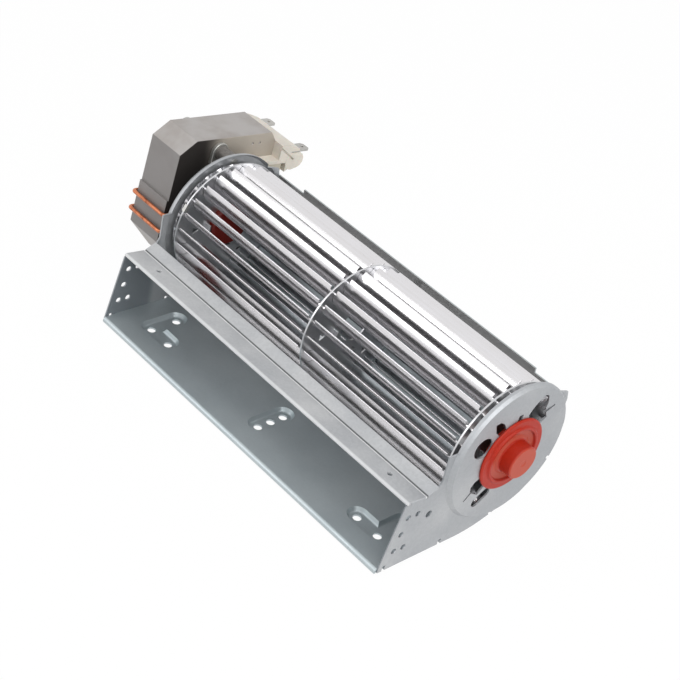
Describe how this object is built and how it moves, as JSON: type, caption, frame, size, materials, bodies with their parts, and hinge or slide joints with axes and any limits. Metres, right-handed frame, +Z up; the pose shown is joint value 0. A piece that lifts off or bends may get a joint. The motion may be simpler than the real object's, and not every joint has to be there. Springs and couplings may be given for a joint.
{
  "type": "cross flow fan",
  "caption": "Small cross flow fan: a long bladed impeller in a folded sheet scroll, driven by a shaded-pole motor through a red silicone coupling.",
  "frame": {"origin": "centre of the four outer foot holes, on the plane the sunk feet rest on", "axes": "+X along the impeller to the bearing end, away from the motor; +Y to the back of the scroll, away from the outlet; +Z up"},
  "size_m": [0.2466, 0.1177, 0.075],
  "materials": {
    "galvanised_sheet": "satin zinc with faint mottling",
    "blade_aluminium": "bright rolled",
    "red_silicone": "smooth, slightly glossy",
    "silicon_steel": "stacked sheet edges, satin",
    "copper": "bare drawn wire",
    "cream_plastic": "moulded, matt",
    "wound_coil": "taped winding",
    "tinned_brass": "tinned",
    "zinc_plated_steel": "bright zinc plate",
    "ground_steel": "ground",
    "sintered_bronze": "oiled, matt",
    "dark_fibre": "matt"
  },
  "bodies": {
    "casing": {"casing_wall": "galvanised_sheet", "outlet_ledge": "galvanised_sheet", "end_plate_motor_side": "galvanised_sheet", "end_plate_bearing_side": "galvanised_sheet", "bearing_boot": "red_silicone", "journal_bush": "sintered_bronze", "lamination_stack": "silicon_steel", "shading_rings_closed_end": "copper", "shading_rings_coil_side": "copper", "core_bar": "silicon_steel", "coil_bobbin": "cream_plastic", "coil_winding": "wound_coil", "terminal_tab_front": "tinned_brass", "terminal_tab_rear": "tinned_brass", "bearing_bracket_front": "zinc_plated_steel", "bearing_bracket_rear": "zinc_plated_steel", "motor_bush_front": "sintered_bronze", "motor_bush_rear": "sintered_bronze", "motor_spacer_upper": "zinc_plated_steel", "motor_spacer_lower": "zinc_plated_steel", "motor_screw_upper": "zinc_plated_steel", "motor_screw_lower": "zinc_plated_steel"},
    "rotor": {"impeller_disc_motor_side": "blade_aluminium", "impeller_disc_middle": "blade_aluminium", "impeller_disc_bearing_side": "blade_aluminium", "blade_01": "blade_aluminium", "blade_02": "blade_aluminium", "blade_03": "blade_aluminium", "blade_04": "blade_aluminium", "blade_05": "blade_aluminium", "blade_06": "blade_aluminium", "blade_07": "blade_aluminium", "blade_08": "blade_aluminium", "blade_09": "blade_aluminium", "blade_10": "blade_aluminium", "blade_11": "blade_aluminium", "blade_12": "blade_aluminium", "blade_13": "blade_aluminium", "blade_14": "blade_aluminium", "blade_15": "blade_aluminium", "blade_16": "blade_aluminium", "blade_17": "blade_aluminium", "blade_18": "blade_aluminium", "blade_19": "blade_aluminium", "blade_20": "blade_aluminium", "blade_21": "blade_aluminium", "blade_22": "blade_aluminium", "blade_23": "blade_aluminium", "blade_24": "blade_aluminium", "balance_clip": "zinc_plated_steel", "coupling_hub": "red_silicone", "journal_hub": "zinc_plated_steel", "journal_pin": "ground_steel", "rotor_core": "silicon_steel", "rotor_cage": "blade_aluminium", "motor_shaft": "ground_steel", "thrust_washer_front": "dark_fibre", "thrust_washer_rear": "dark_fibre"}
  },
  "joints": [
    {"name": "impeller_spin", "type": "hinge", "parent": "casing", "child": "rotor", "pos_m": [0, 0.0385, 0.0402], "axis": [-1, 0, 0], "continuous": true}
  ]
}
